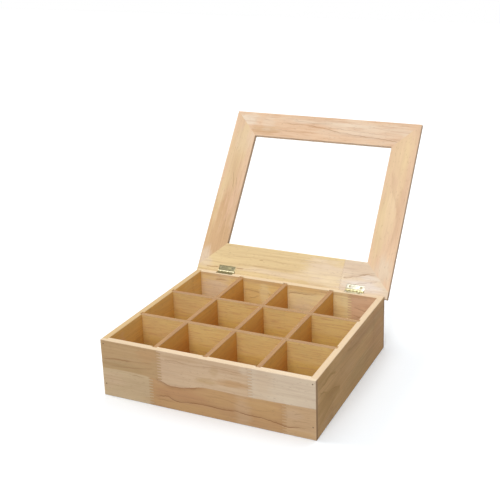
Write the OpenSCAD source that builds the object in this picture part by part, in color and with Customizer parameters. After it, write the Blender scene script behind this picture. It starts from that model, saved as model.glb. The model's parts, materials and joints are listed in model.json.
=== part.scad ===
// Tea bag organizer: a twelve-compartment wooden box with a hinged, glazed lid.
// Millimetres. X runs along the front, Y from front to back, Z up.
// The origin is the centre of the underside. The lid is drawn open, resting on its stop.

/* [Box] */
// Width of the box, outside
box_w = 330; // [290:1:400]
// Depth of the box from front to back, outside
box_d = 286; // [240:1:340]
// Height of the box without its lid
box_h = 88; // [70:1:110]
// Thickness of the four walls
wall_t = 9.5; // [8:0.5:12]
// Thickness of the lip that hides each side panel's end grain
lip_t = 5; // [3:0.5:6]
// Rounding of the box's outer edges
edge_r = 1; // [0.5:0.1:1.5]
// Bevel round the inside of the rim
rim_bevel = 0.6; // [0.3:0.1:1.2]

/* [Bottom] */
// Thickness of the bottom panel
bottom_t = 4; // [3:0.5:6]
// How far the bottom panel reaches into the walls' rabbets
bottom_seat = 4.5; // [2:0.5:5.5]

/* [Dividers] */
// Thickness of a divider
divider_t = 7; // [5:0.5:9]
// Rounding of the dividers' upper edges
divider_r = 0.6; // [0.3:0.1:1]
// How far the dividers stop below the rim
divider_drop = 1; // [0.5:0.5:8]
// Depth of the grooves that house the dividers' ends
dado_depth = 3; // [2:0.5:4]
// Clearance at each face of a sliding wood joint
wood_gap = 0.1; // [0.05:0.05:0.2]

/* [Lid] */
// Thickness of the lid frame
lid_t = 8; // [7:0.5:10]
// How far the lid stands out past the box at the front and sides
lid_overhang = 4.5; // [2:0.5:8]
// Width of the front and side rails
rail_w = 44.5; // [36:0.5:52]
// How much wider the hinge rail is, past the ends of its mitres
hinge_rail_extra = 11; // [4:0.5:14]
// Rounding of the lid's upper edges
lid_top_r = 2; // [1:0.1:3]
// Rounding of the lid's lower edges
lid_low_r = 1; // [0.5:0.1:1.5]
// Bevel round both faces of the window opening
window_bevel = 0.8; // [0.4:0.1:1.2]
// Thickness of the window pane
pane_t = 2; // [1.5:0.1:3]
// Depth of the groove that holds the pane
pane_groove = 5; // [3:0.5:7]
// Clearance round the pane in its groove
pane_gap = 0.15; // [0.1:0.05:0.3]
// Length of the loose tongue in each mitre
tongue_l = 24; // [16:1:28]
// Width of the loose tongue across the mitre
tongue_w = 16; // [12:1:20]
// Thickness of the loose tongue
tongue_t = 2; // [1.5:0.1:2.6]

/* [Hinges] */
// Distance from the box's side to the middle of each hinge
hinge_inset = 51; // [40:1:60]
// Length of a hinge
hinge_l = 30; // [26:1:36]
// Distance from the pin's axis to the free edge of a leaf
leaf_w = 10; // [9:0.5:11]
// Thickness of a leaf
leaf_t = 1; // [0.8:0.05:1.1]
// Outside diameter of the knuckles
knuckle_d = 3.4; // [3:0.1:3.8]
// Diameter of the pin
pin_d = 1.6; // [1.2:0.1:1.8]
// Radial running clearance of the pin
pin_gap = 0.05; // [0.02:0.01:0.09]
// Distance from the back panel to the pin's axis
pin_back = 3.5; // [3.2:0.1:4]
// How far the lid reaches back past the pin's axis
lid_back = 6.4; // [5.8:0.1:7]
// Gap between the rim and the closed lid
closed_gap = 0.6; // [0.4:0.1:1]
// Distance between the two screws of a leaf
screw_pitch = 19; // [16:0.5:20]
// Distance from the pin's axis to the screws
screw_offset = 6.2; // [5.6:0.1:6.6]

/* [Fasteners] */
// Head diameter of a hinge screw
screw_head_d = 4; // [3.6:0.1:4.4]
// Shank diameter of a hinge screw
screw_d = 2.2; // [1.8:0.1:2.4]
// Length of the screws in the box
box_screw_l = 12; // [8:1:16]
// Length of the screws in the lid
lid_screw_l = 6; // [5:0.5:6]
// Diameter of a brad's shank
brad_d = 1.2; // [1:0.1:1.6]
// Diameter of a brad's head
brad_head_d = 2; // [1.8:0.1:2.6]
// Length of a brad
brad_l = 22; // [16:1:30]
// Distance from the rim to the upper brads
brad_top = 6; // [5:0.5:15]
// Distance from the underside to the lower brads
brad_low = 19; // [10:0.5:25]

/* [Hidden] */
$fn = 48;

columns = 4;
rows = 3;
knuckles = 5;
// Cutting tools run this far past the wood they cut.
past = 1;

wood = [0.84, 0.71, 0.54];
ply = [0.80, 0.66, 0.48];
brass = [0.78, 0.66, 0.36];
steel = [0.55, 0.53, 0.50];

// Inside of the box
inner_w = box_w - 2 * wall_t;
inner_d = box_d - 2 * wall_t;
back_y = box_d / 2;
bottom_w = inner_w + 2 * bottom_seat;
bottom_d = inner_d + 2 * bottom_seat;

// Dividers stand on the bottom panel and divide the inside evenly.
divider_top = box_h - divider_drop;
divider_h = divider_top - bottom_t;
column_pitch = (inner_w + divider_t) / columns;
row_pitch = (inner_d + divider_t) / rows;
slot_w = divider_t + 2 * wood_gap;
half_lap_z = bottom_t + divider_h / 2;

// Lid, worked out as if it were closed
lid_z = box_h + closed_gap;
lid_w = box_w + 2 * lid_overhang;
lid_front_y = -box_d / 2 - lid_overhang;
lid_rear_y = back_y + pin_back + lid_back;
lid_d = lid_rear_y - lid_front_y;
hinge_rail_w = rail_w + hinge_rail_extra;
window_w = lid_w - 2 * rail_w;
window_d = lid_d - rail_w - hinge_rail_w;
window_y = (lid_front_y + rail_w + lid_rear_y - hinge_rail_w) / 2;
window_z = lid_z + lid_t / 2;

// Hinge line
pin_y = back_y + pin_back;
pin_z = box_h + closed_gap / 2;
knuckle_r = knuckle_d / 2;
knuckle_l = hinge_l / knuckles;
knuckle_end_gap = 0.15;
knuckle_clear = 0.3;
pin_head_d = 2.6;
pin_head_t = 0.5;
hinge_x = box_w / 2 - hinge_inset;

// The open lid stops where its rounded rear edge reaches the back panel.
stop_gap = 0.3;
stop_reach = lid_back - lid_low_r;
stop_rise = closed_gap / 2 + lid_low_r;
stop_radius = sqrt(stop_reach * stop_reach + stop_rise * stop_rise);
lid_open = atan2(stop_rise, stop_reach) + acos((stop_gap + lid_low_r - pin_back) / stop_radius);

// Fasteners
screw_gap = 0.05;
screw_sink = 0.05;
screw_tip_l = 2;
cross_l = 2.2;
cross_w = 0.5;
cross_depth = 0.5;
brad_sink = 0.3;
brad_head_t = 0.8;
brad_tip_l = 1.5;

// ---------- Shapes that repeat ----------

// A rectangle standing on the X axis, with its own rounding for low and top corners
module eased_profile(w, h, low_r, top_r) {
    translate([-w / 2, low_r]) square([w, h - low_r - top_r]);
    translate([low_r - w / 2, 0]) square([w - 2 * low_r, h / 2]);
    translate([top_r - w / 2, h / 2]) square([w - 2 * top_r, h / 2]);
    for (side = [-1, 1]) {
        translate([side * (w / 2 - low_r), low_r]) circle(low_r);
        translate([side * (w / 2 - top_r), h - top_r]) circle(top_r);
    }
}

// A block on the XY plane, centred in X and Y, with all its outer edges rounded
module eased_block(w, d, h, low_r, top_r, corner_r) {
    intersection() {
        translate([0, d / 2, 0]) rotate([90, 0, 0]) linear_extrude(d) eased_profile(w, h, low_r, top_r);
        translate([-w / 2, 0, 0]) rotate([90, 0, 90]) linear_extrude(w) eased_profile(d, h, low_r, top_r);
        translate([0, -d / 2, 0]) linear_extrude(h) eased_profile(w, d, corner_r, corner_r);
    }
}

// A board on edge along X, centred, with its two upper edges rounded
module eased_board(l, t, h, r) {
    translate([-l / 2, 0, 0]) rotate([90, 0, 90]) linear_extrude(l) {
        translate([-t / 2, 0]) square([t, h - r]);
        translate([r - t / 2, 0]) square([t - 2 * r, h]);
        for (side = [-1, 1]) translate([side * (t / 2 - r), h - r]) circle(r);
    }
}

// A centred block of a given size
module block(w, d, h) {
    translate([-w / 2, -d / 2, 0]) cube([w, d, h]);
}

// A cutter that flares a w by d opening outwards at 45 degrees, its narrow end at z = 0
module flare(w, d, bevel) {
    top = bevel + past;
    intersection() {
        translate([0, d / 2 + top, 0]) rotate([90, 0, 0]) linear_extrude(d + 2 * top)
            polygon([[-w / 2, 0], [w / 2, 0], [w / 2 + top, top], [-w / 2 - top, top]]);
        translate([-w / 2 - top, 0, 0]) rotate([90, 0, 90]) linear_extrude(w + 2 * top)
            polygon([[-d / 2, 0], [d / 2, 0], [d / 2 + top, top], [-d / 2 - top, top]]);
    }
}

// Moves what is drawn for the closed lid to the open position
module opened() {
    translate([0, pin_y, pin_z]) rotate([-lid_open, 0, 0]) translate([0, -pin_y, -pin_z]) children();
}

// ---------- Box ----------

module box_block() {
    eased_block(box_w, box_d, box_h, edge_r, edge_r, edge_r);
}

// Rabbet round the underside that lets in the bottom panel
module bottom_rabbet() {
    translate([0, 0, -past])
        block(bottom_w + 2 * wood_gap, bottom_d + 2 * wood_gap, bottom_t + past);
}

// The part of the walls that a side panel takes up, behind the lips of the front and back
module side_zone(side) {
    translate([side * (box_w - wall_t) / 2, 0, -past])
        block(wall_t, box_d - 2 * lip_t, box_h + 2 * past);
}

module divider_grooves() {
    groove_h = box_h - bottom_t + past;
    for (i = [1 : columns - 1])
        translate([column_x(i), 0, bottom_t]) block(slot_w, inner_d + 2 * dado_depth, groove_h);
    for (i = [1 : rows - 1])
        translate([0, row_y(i), bottom_t]) block(inner_w + 2 * dado_depth, slot_w, groove_h);
}

// Shallow seats that let the hinges' lower leaves into the top of the back panel
module box_hinge_seats() {
    seat_d = leaf_w - pin_back + wood_gap;
    seat_h = knuckle_r - closed_gap / 2;
    for (side = [-1, 1])
        translate([side * hinge_x, back_y - seat_d / 2 + past / 2, box_h - seat_h])
            block(hinge_l + 2 * wood_gap, seat_d + past, seat_h + past);
}

function column_x(i) = (i - columns / 2) * column_pitch;
function row_y(i) = (i - rows / 2) * row_pitch;

// All four walls in one, with every cut that they share
module walls() {
    difference() {
        box_block();
        translate([0, 0, -past]) block(inner_w, inner_d, box_h + 2 * past);
        translate([0, 0, box_h - rim_bevel]) flare(inner_w, inner_d, rim_bevel);
        bottom_rabbet();
        divider_grooves();
        box_hinge_seats();
        for (face = [-1, 1]) at_brads(face) brad_hole();
        for (side = [-1, 1]) at_box_screws(side) screw_hole(box_screw_l);
    }
}

// The half of the box on one side of its middle, front (-1) or back (1)
module half_zone(face) {
    translate([0, face * box_d / 2, -past]) block(box_w + 2 * past, box_d, box_h + 2 * past);
}

module end_panel(face) {
    color(wood) intersection() {
        difference() {
            walls();
            for (side = [-1, 1]) side_zone(side);
        }
        half_zone(face);
    }
}

module side_panel(side) {
    color(wood) intersection() {
        walls();
        side_zone(side);
    }
}

module bottom_panel() {
    color(ply) block(bottom_w, bottom_d, bottom_t);
}

// A divider that runs from front to back, notched from above for the row dividers
module column_divider(i) {
    color(wood) difference() {
        translate([column_x(i), 0, bottom_t]) rotate([0, 0, 90])
            eased_board(inner_d + 2 * (dado_depth - wood_gap), divider_t, divider_h, divider_r);
        for (j = [1 : rows - 1])
            translate([column_x(i), row_y(j), half_lap_z]) block(divider_t + 2 * past, slot_w, divider_h);
    }
}

// A divider that runs from side to side, notched from below for the column dividers
module row_divider(i) {
    color(wood) difference() {
        translate([0, row_y(i), bottom_t])
            eased_board(inner_w + 2 * (dado_depth - wood_gap), divider_t, divider_h, divider_r);
        for (j = [1 : columns - 1])
            translate([column_x(j), row_y(i), half_lap_z - divider_h])
                block(slot_w, divider_t + 2 * past, divider_h);
    }
}

// ---------- Lid ----------

// The window pane; with a gap it is the groove that holds it
module pane(gap) {
    w = window_w + 2 * pane_groove - 2 * pane_gap;
    d = window_d + 2 * pane_groove - 2 * pane_gap;
    translate([0, window_y, window_z - pane_t / 2 - gap])
        block(w + 2 * gap, d + 2 * gap, pane_t + 2 * gap);
}

// Place of one loose tongue, across the middle of a mitre
module tongue_place(side, end, gap) {
    inner_y = end > 0 ? lid_rear_y - hinge_rail_w : lid_front_y + rail_w;
    translate([side * (window_w + rail_w) / 2, inner_y + end * rail_w / 2, window_z - tongue_t / 2 - gap])
        rotate([0, 0, side * end * 45])
            block(tongue_l + 2 * gap, tongue_w + 2 * gap, tongue_t + 2 * gap);
}

module tongues(gap) {
    for (side = [-1, 1])
        for (end = [-1, 1]) tongue_place(side, end, gap);
}

// Seats for the hinges' upper leaves, with a scoop over the knuckles
module lid_hinge_seats() {
    seat_d = leaf_w + wood_gap;
    seat_h = knuckle_r - closed_gap / 2;
    scoop_l = hinge_l + 2 * (pin_head_t + knuckle_clear);
    for (side = [-1, 1]) translate([side * hinge_x, 0, 0]) {
        translate([0, pin_y - seat_d / 2, lid_z - past])
            block(hinge_l + 2 * wood_gap, seat_d, seat_h + past);
        translate([-scoop_l / 2, pin_y, pin_z]) rotate([0, 90, 0])
            cylinder(h = scoop_l, r = knuckle_r + knuckle_clear);
    }
}

// The whole lid frame, with every cut that its rails share
module lid_frame() {
    difference() {
        translate([0, (lid_front_y + lid_rear_y) / 2, lid_z])
            eased_block(lid_w, lid_d, lid_t, lid_low_r, lid_top_r, lid_low_r);
        translate([0, window_y, lid_z - past]) block(window_w, window_d, lid_t + 2 * past);
        translate([0, window_y, lid_z + lid_t - window_bevel]) flare(window_w, window_d, window_bevel);
        translate([0, window_y, lid_z + window_bevel]) mirror([0, 0, 1])
            flare(window_w, window_d, window_bevel);
        pane(pane_gap);
        tongues(wood_gap);
        lid_hinge_seats();
        for (side = [-1, 1]) at_lid_screws(side) screw_hole(lid_screw_l);
    }
}

// Cuts one rail out of the lid frame, by its outline seen from above
module rail(outline) {
    color(wood) opened() intersection() {
        lid_frame();
        translate([0, 0, lid_z - past]) linear_extrude(lid_t + 2 * past) polygon(outline);
    }
}

module lid_front_rail() {
    outer_x = lid_w / 2;
    inner_x = window_w / 2;
    inner_y = lid_front_y + rail_w;
    rail([[-outer_x, lid_front_y], [outer_x, lid_front_y], [inner_x, inner_y], [-inner_x, inner_y]]);
}

module lid_hinge_rail() {
    outer_x = lid_w / 2;
    inner_x = window_w / 2;
    inner_y = lid_rear_y - hinge_rail_w;
    mitre_y = inner_y + rail_w;
    rail([
        [-inner_x, inner_y], [inner_x, inner_y], [outer_x, mitre_y],
        [outer_x, lid_rear_y], [-outer_x, lid_rear_y], [-outer_x, mitre_y]
    ]);
}

module lid_side_rail(side) {
    outer_x = side * lid_w / 2;
    inner_x = side * window_w / 2;
    inner_rear_y = lid_rear_y - hinge_rail_w;
    rail([
        [outer_x, lid_front_y], [inner_x, lid_front_y + rail_w],
        [inner_x, inner_rear_y], [outer_x, inner_rear_y + rail_w]
    ]);
}

module lid_window() {
    color([0.85, 0.93, 0.95, 0.35]) opened() pane(0);
}

module lid_mitre_tongues() {
    color(ply) opened() tongues(0);
}

// ---------- Hinges ----------

// The stretches of the barrel that belong to one leaf: first = 0 for the box, 1 for the lid
module barrel(first, r, end_gap) {
    for (i = [first : 2 : knuckles - 1])
        translate([i * knuckle_l - hinge_l / 2 + end_gap / 2, 0, 0]) rotate([0, 90, 0])
            cylinder(h = knuckle_l - end_gap, r = r);
}

// A leaf with its knuckles, its pin on the X axis and its plate towards -Y, below the pin
module leaf(first) {
    difference() {
        union() {
            translate([-hinge_l / 2, -leaf_w, -knuckle_r]) cube([hinge_l, leaf_w, leaf_t]);
            barrel(first, knuckle_r, knuckle_end_gap);
        }
        barrel(1 - first, knuckle_r + knuckle_end_gap, -knuckle_end_gap);
        translate([-hinge_l / 2 - past, 0, 0]) rotate([0, 90, 0])
            cylinder(h = hinge_l + 2 * past, d = pin_d + 2 * pin_gap);
        for (side = [-1, 1])
            translate([side * screw_pitch / 2, -screw_offset, leaf_t - knuckle_r]) screw_hole(leaf_t + past);
    }
}

module box_leaf(side) {
    color(brass) translate([side * hinge_x, pin_y, pin_z]) leaf(0);
}

module lid_leaf(side) {
    color(brass) opened() translate([side * hinge_x, pin_y, pin_z]) mirror([0, 0, 1]) leaf(1);
}

module hinge_pin(side) {
    shank_l = hinge_l + 2 * pin_gap;
    color(brass) translate([side * hinge_x, pin_y, pin_z]) rotate([0, 90, 0]) {
        translate([0, 0, -shank_l / 2 - pin_head_t]) cylinder(h = shank_l + 2 * pin_head_t, d = pin_d);
        for (end = [0, 1]) mirror([0, 0, end]) translate([0, 0, shank_l / 2])
            cylinder(h = pin_head_t, d1 = pin_head_d, d2 = pin_d);
    }
}

// ---------- Fasteners ----------

// A countersunk screw pointing down through a leaf whose face is at z = 0
module screw(length) {
    head_r = screw_head_d / 2;
    shank_r = screw_d / 2;
    difference() {
        rotate_extrude() polygon([
            [0, -screw_sink], [head_r, -screw_sink], [shank_r, shank_r - head_r - screw_sink],
            [shank_r, screw_tip_l - length], [0, -length]
        ]);
        for (turn = [0, 90]) rotate([0, 0, turn])
            translate([0, 0, -screw_sink - cross_depth]) block(cross_l, cross_w, past);
    }
}

// The countersunk hole that takes such a screw
module screw_hole(length) {
    head_r = screw_head_d / 2 + screw_gap;
    shank_r = screw_d / 2 + screw_gap;
    rotate_extrude() polygon([
        [0, past], [head_r, past], [head_r, 0], [shank_r, shank_r - head_r],
        [shank_r, -length - screw_gap], [0, -length - screw_gap]
    ]);
}

// Puts its children at the two screws of a hinge's lower leaf
module at_box_screws(side) {
    for (end = [-1, 1])
        translate([side * hinge_x + end * screw_pitch / 2, pin_y - screw_offset, pin_z + leaf_t - knuckle_r])
            children();
}

// Puts its children at the two screws of a hinge's upper leaf, with the lid closed
module at_lid_screws(side) {
    for (end = [-1, 1])
        translate([side * hinge_x + end * screw_pitch / 2, pin_y - screw_offset, pin_z - leaf_t + knuckle_r])
            mirror([0, 0, 1]) children();
}

module box_screws(side) {
    color(brass) at_box_screws(side) screw(box_screw_l);
}

module lid_screws(side) {
    color(brass) opened() at_lid_screws(side) screw(lid_screw_l);
}

// A brad pointing down, driven just below a face at z = 0
module brad() {
    head_r = brad_head_d / 2;
    shank_r = brad_d / 2;
    neck_z = -brad_sink - brad_head_t;
    rotate_extrude() polygon([
        [0, -brad_sink], [head_r, -brad_sink], [head_r, neck_z],
        [shank_r, neck_z], [shank_r, brad_tip_l - brad_l], [0, -brad_l]
    ]);
}

// The hole that a driven brad leaves
module brad_hole() {
    head_r = brad_head_d / 2 + screw_gap;
    shank_r = brad_d / 2 + screw_gap;
    neck_z = -brad_sink - brad_head_t - screw_gap;
    rotate_extrude() polygon([
        [0, past], [head_r, past], [head_r, neck_z],
        [shank_r, neck_z], [shank_r, -brad_l - screw_gap], [0, -brad_l - screw_gap]
    ]);
}

// Puts its children where brads go through the front (-1) or back (1) panel into the side panels
module at_brads(face) {
    for (side = [-1, 1])
        for (z = [brad_low, box_h - brad_top])
            translate([side * (box_w - wall_t) / 2, face * box_d / 2, z]) rotate([-90 * face, 0, 0]) children();
}

module brads(face) {
    color(steel) at_brads(face) brad();
}

// ---------- Nodes ----------

end_panel(-1);  // front_panel
end_panel(1);  // back_panel
side_panel(-1);  // left_panel
side_panel(1);  // right_panel
bottom_panel();
column_divider(1);  // column_divider_left
column_divider(2);  // column_divider_centre
column_divider(3);  // column_divider_right
row_divider(1);  // row_divider_front
row_divider(2);  // row_divider_rear
lid_front_rail();
lid_hinge_rail();
lid_side_rail(-1);  // lid_left_rail
lid_side_rail(1);  // lid_right_rail
lid_window();
lid_mitre_tongues();
box_leaf(-1);  // left_hinge_box_leaf
lid_leaf(-1);  // left_hinge_lid_leaf
hinge_pin(-1);  // left_hinge_pin
box_leaf(1);  // right_hinge_box_leaf
lid_leaf(1);  // right_hinge_lid_leaf
hinge_pin(1);  // right_hinge_pin
box_screws(-1);  // left_hinge_box_screws
lid_screws(-1);  // left_hinge_lid_screws
box_screws(1);  // right_hinge_box_screws
lid_screws(1);  // right_hinge_lid_screws
brads(-1);  // front_brads
brads(1);  // back_brads
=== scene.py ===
"""Tea bag organizer box: wood, brass and window finishes, eased hinge leaves, studio light and camera."""

import json
import math
from types import SimpleNamespace

import bmesh
import bpy
from bpy.props import FloatProperty, FloatVectorProperty, PointerProperty
from mathutils import Euler, Matrix, Vector


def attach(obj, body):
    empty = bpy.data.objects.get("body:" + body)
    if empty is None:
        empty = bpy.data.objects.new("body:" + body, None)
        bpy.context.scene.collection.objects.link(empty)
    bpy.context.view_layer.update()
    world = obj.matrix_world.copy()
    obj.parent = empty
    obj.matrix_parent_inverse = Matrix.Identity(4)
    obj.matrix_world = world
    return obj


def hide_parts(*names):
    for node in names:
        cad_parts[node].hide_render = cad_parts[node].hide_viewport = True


bl_info = {
    "name": "Tea Bag Organizer Box",
    "version": (1, 0, 0),
    "blender": (4, 5, 0),
    "location": "View3D > Sidebar > Tea Box",
    "description": "Finishes a wooden tea bag organizer with a hinged window lid",
    "category": "Object",
}

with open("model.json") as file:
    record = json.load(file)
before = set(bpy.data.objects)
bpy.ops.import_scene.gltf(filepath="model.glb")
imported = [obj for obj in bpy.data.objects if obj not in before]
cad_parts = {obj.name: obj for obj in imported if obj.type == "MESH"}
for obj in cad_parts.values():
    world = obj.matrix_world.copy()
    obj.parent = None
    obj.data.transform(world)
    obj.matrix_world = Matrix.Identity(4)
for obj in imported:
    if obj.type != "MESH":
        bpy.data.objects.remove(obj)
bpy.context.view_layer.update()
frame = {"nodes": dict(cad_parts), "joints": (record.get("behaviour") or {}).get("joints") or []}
packed_nodes = frame["nodes"]
lid_joint = frame["joints"][0]

MM = 0.001

PANELS = ("front_panel", "back_panel", "left_panel", "right_panel")
COLUMN_DIVIDERS = ("column_divider_left", "column_divider_centre", "column_divider_right")
ROW_DIVIDERS = ("row_divider_front", "row_divider_rear")
LID_BOARDS = ("lid_front_rail", "lid_hinge_rail", "lid_left_rail", "lid_right_rail", "lid_mitre_tongues")
BRADS = ("front_brads", "back_brads")

# Two rows of up to three staves make a board's figure.
ROWS = ("Upper", "Lower")
STAVES = ("Left", "Middle", "Right")

# Fine sizes of the finishes, in metres.
JOINT_LINE = (0.0001, 0.0005)  # glue line in a finger joint: darkest up to the first, gone at the second
ROW_LINE = (0.00008, 0.0004)  # glue line between the rows, in the same way
ROW_BLEND = 0.0006  # half the height in which one row's colour passes into the other's
FACE_FADE = (0.0003, 0.0007)  # how near an end or an edge the cut fibres show, full and faded
FACE_SKIN = 0.0005  # how far below a board's face its painted shade, and its other face's tint, reaches
NO_BARREL = -1.0  # barrel radius of metal without one
BARREL_SHOULDER = 0.0002  # how far past a hinge's barrel its brighter colour, partly polish and partly a painted highlight, fades
CREASE_SHADE_LINE = (0.0002, 0.0005)  # half the width of the painted shade in the crease beside the barrel, full and faded

FLANK = (0.3, 0.7)  # the part of half a finger pitch that a finger's flank takes
RING_SCALE = 0.314  # at this scale over the ring spacing, a wave comes once in a ring spacing
VEIN_SCALE = 0.046  # and at this one, once in about seven

# A hinge leaf's mesh: points nearer than the first are one, faces within the second are flat, edges past
# the third get the bevel, and shading breaks past the last.
JOIN_DISTANCE = 1e-6
FLAT_ANGLE = math.radians(2)
EDGE_ANGLE = math.radians(40)
CREASE_ANGLE = math.radians(35)

# The stage, in metres and degrees, and the camera's sensor in millimetres.
LAMP_DISTANCE = 3.0
CAMERA_PLACE = (0.551445, -1.0868, 0.654651)
CAMERA_TURN = (72.3975, 0.9026, 22.9132)
CAMERA_SHIFT = -0.1
CAMERA_REACH = (0.05, 50.0)
SENSOR_WIDTH = 36.0

# A board's own axes: X along the grain, Y across it, Z through the thickness.
UPRIGHT_ALONG_X = Matrix(((1, 0, 0), (0, 0, 1), (0, -1, 0)))
UPRIGHT_ALONG_Y = Matrix(((0, 1, 0), (0, 0, 1), (1, 0, 0)))
FLAT_ALONG_X = Matrix.Identity(3)
FLAT_ALONG_Y = Matrix(((0, 1, 0), (-1, 0, 0), (0, 0, 1)))

# Places and sizes in a board's figure are in millimetres from its middle: first along the grain, then
# across it. These three lie past the ends and edges of every board.
NO_JOINT = 9000
NO_SPLIT = -1000
EVERY_LEVEL = (1000, 900)


def vein(*course, strength=0.6, width=1.0, side=0.0, shade=0.35, reach=6.0, fade=(6.0, 20.0), tint="vein"):
    """A dark line along a course, with its shade on one side: 1 above it, -1 below it, 0 on neither."""
    return {
        "Course": course, "Start": course[0][0] * MM, "End": course[-1][0] * MM, "Fade In": fade[0] * MM,
        "Fade Out": fade[1] * MM, "Width": width * MM, "Strength": strength, "Side": side, "Shade": shade,
        "Shade Reach": reach * MM, "Line": tint}


def blush(place, size, tint, strength):
    """A soft patch of another tint. The size is half its length and half its height."""
    return {
        "Place": (place[0] * MM, place[1] * MM, 0.0), "Size": (size[0] * MM, size[1] * MM, 1.0),
        "Tint": tint, "Strength": strength}


# What a board has unless its own entry below says otherwise. Colours are names of wood settings.
PLAIN_BOARD = dict(
    upper=("row_veneer",),  # colours of the upper staves from left to right, or one for all three
    lower=None,  # the same for the lower staves, where they differ
    split=NO_SPLIT,  # the line between the two rows: a height or a course
    upper_joints=(NO_JOINT, NO_JOINT),  # places of the finger joints in each row
    lower_joints=(NO_JOINT, NO_JOINT),
    patches=(),  # blushes, and veins over them, in the order in which they are laid on
    lines=(),
    spacing=1.0,  # ring spacing, as a share of the setting
    wander=0.016,  # how far the growth lines stray
    grain="late_wood",  # colour of the growth lines and streaks
    rings=0.22,  # strengths of the figure
    veins=0.3,
    streaks=0.35,
    streak_length=0.14,
    streak_height=0.003,
    fingers=1.0,  # length of the fingers, as a share of the setting
    worn="pale",  # colour of the rubbed edges
    sawn_edge=0.0,  # how much of its own colour one long edge shows: a sawn or planed edge, and on the lid rails painted shade
    edge="rim",
    edge_side=1.0,  # which edge that is: 1 the upper one, -1 the lower one
    depth=None,  # painted shade of the lower part deep in the box, growing from the first level down to the second
    depth_levels=(20, 0),
    inner_side=0.0,  # where only one face has that painted shade: 1 or -1, the way it faces through the board
    outer=None,  # tint of the other face
)
# A wall's depth colour is painted shade low on its inner face.
WALL = dict(sawn_edge=0.85, depth="wall_depth_shade")
DIVIDER = dict(spacing=1.5, sawn_edge=0.95, edge="divider_edge")

# How much each patch's seed and each line's seed differs from the last one's, and each divider's.
PATCH_SEED_STEP = 5.3
LINE_SEED_STEP = 3.7
DIVIDER_SEED_STEP = 7.0

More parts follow.
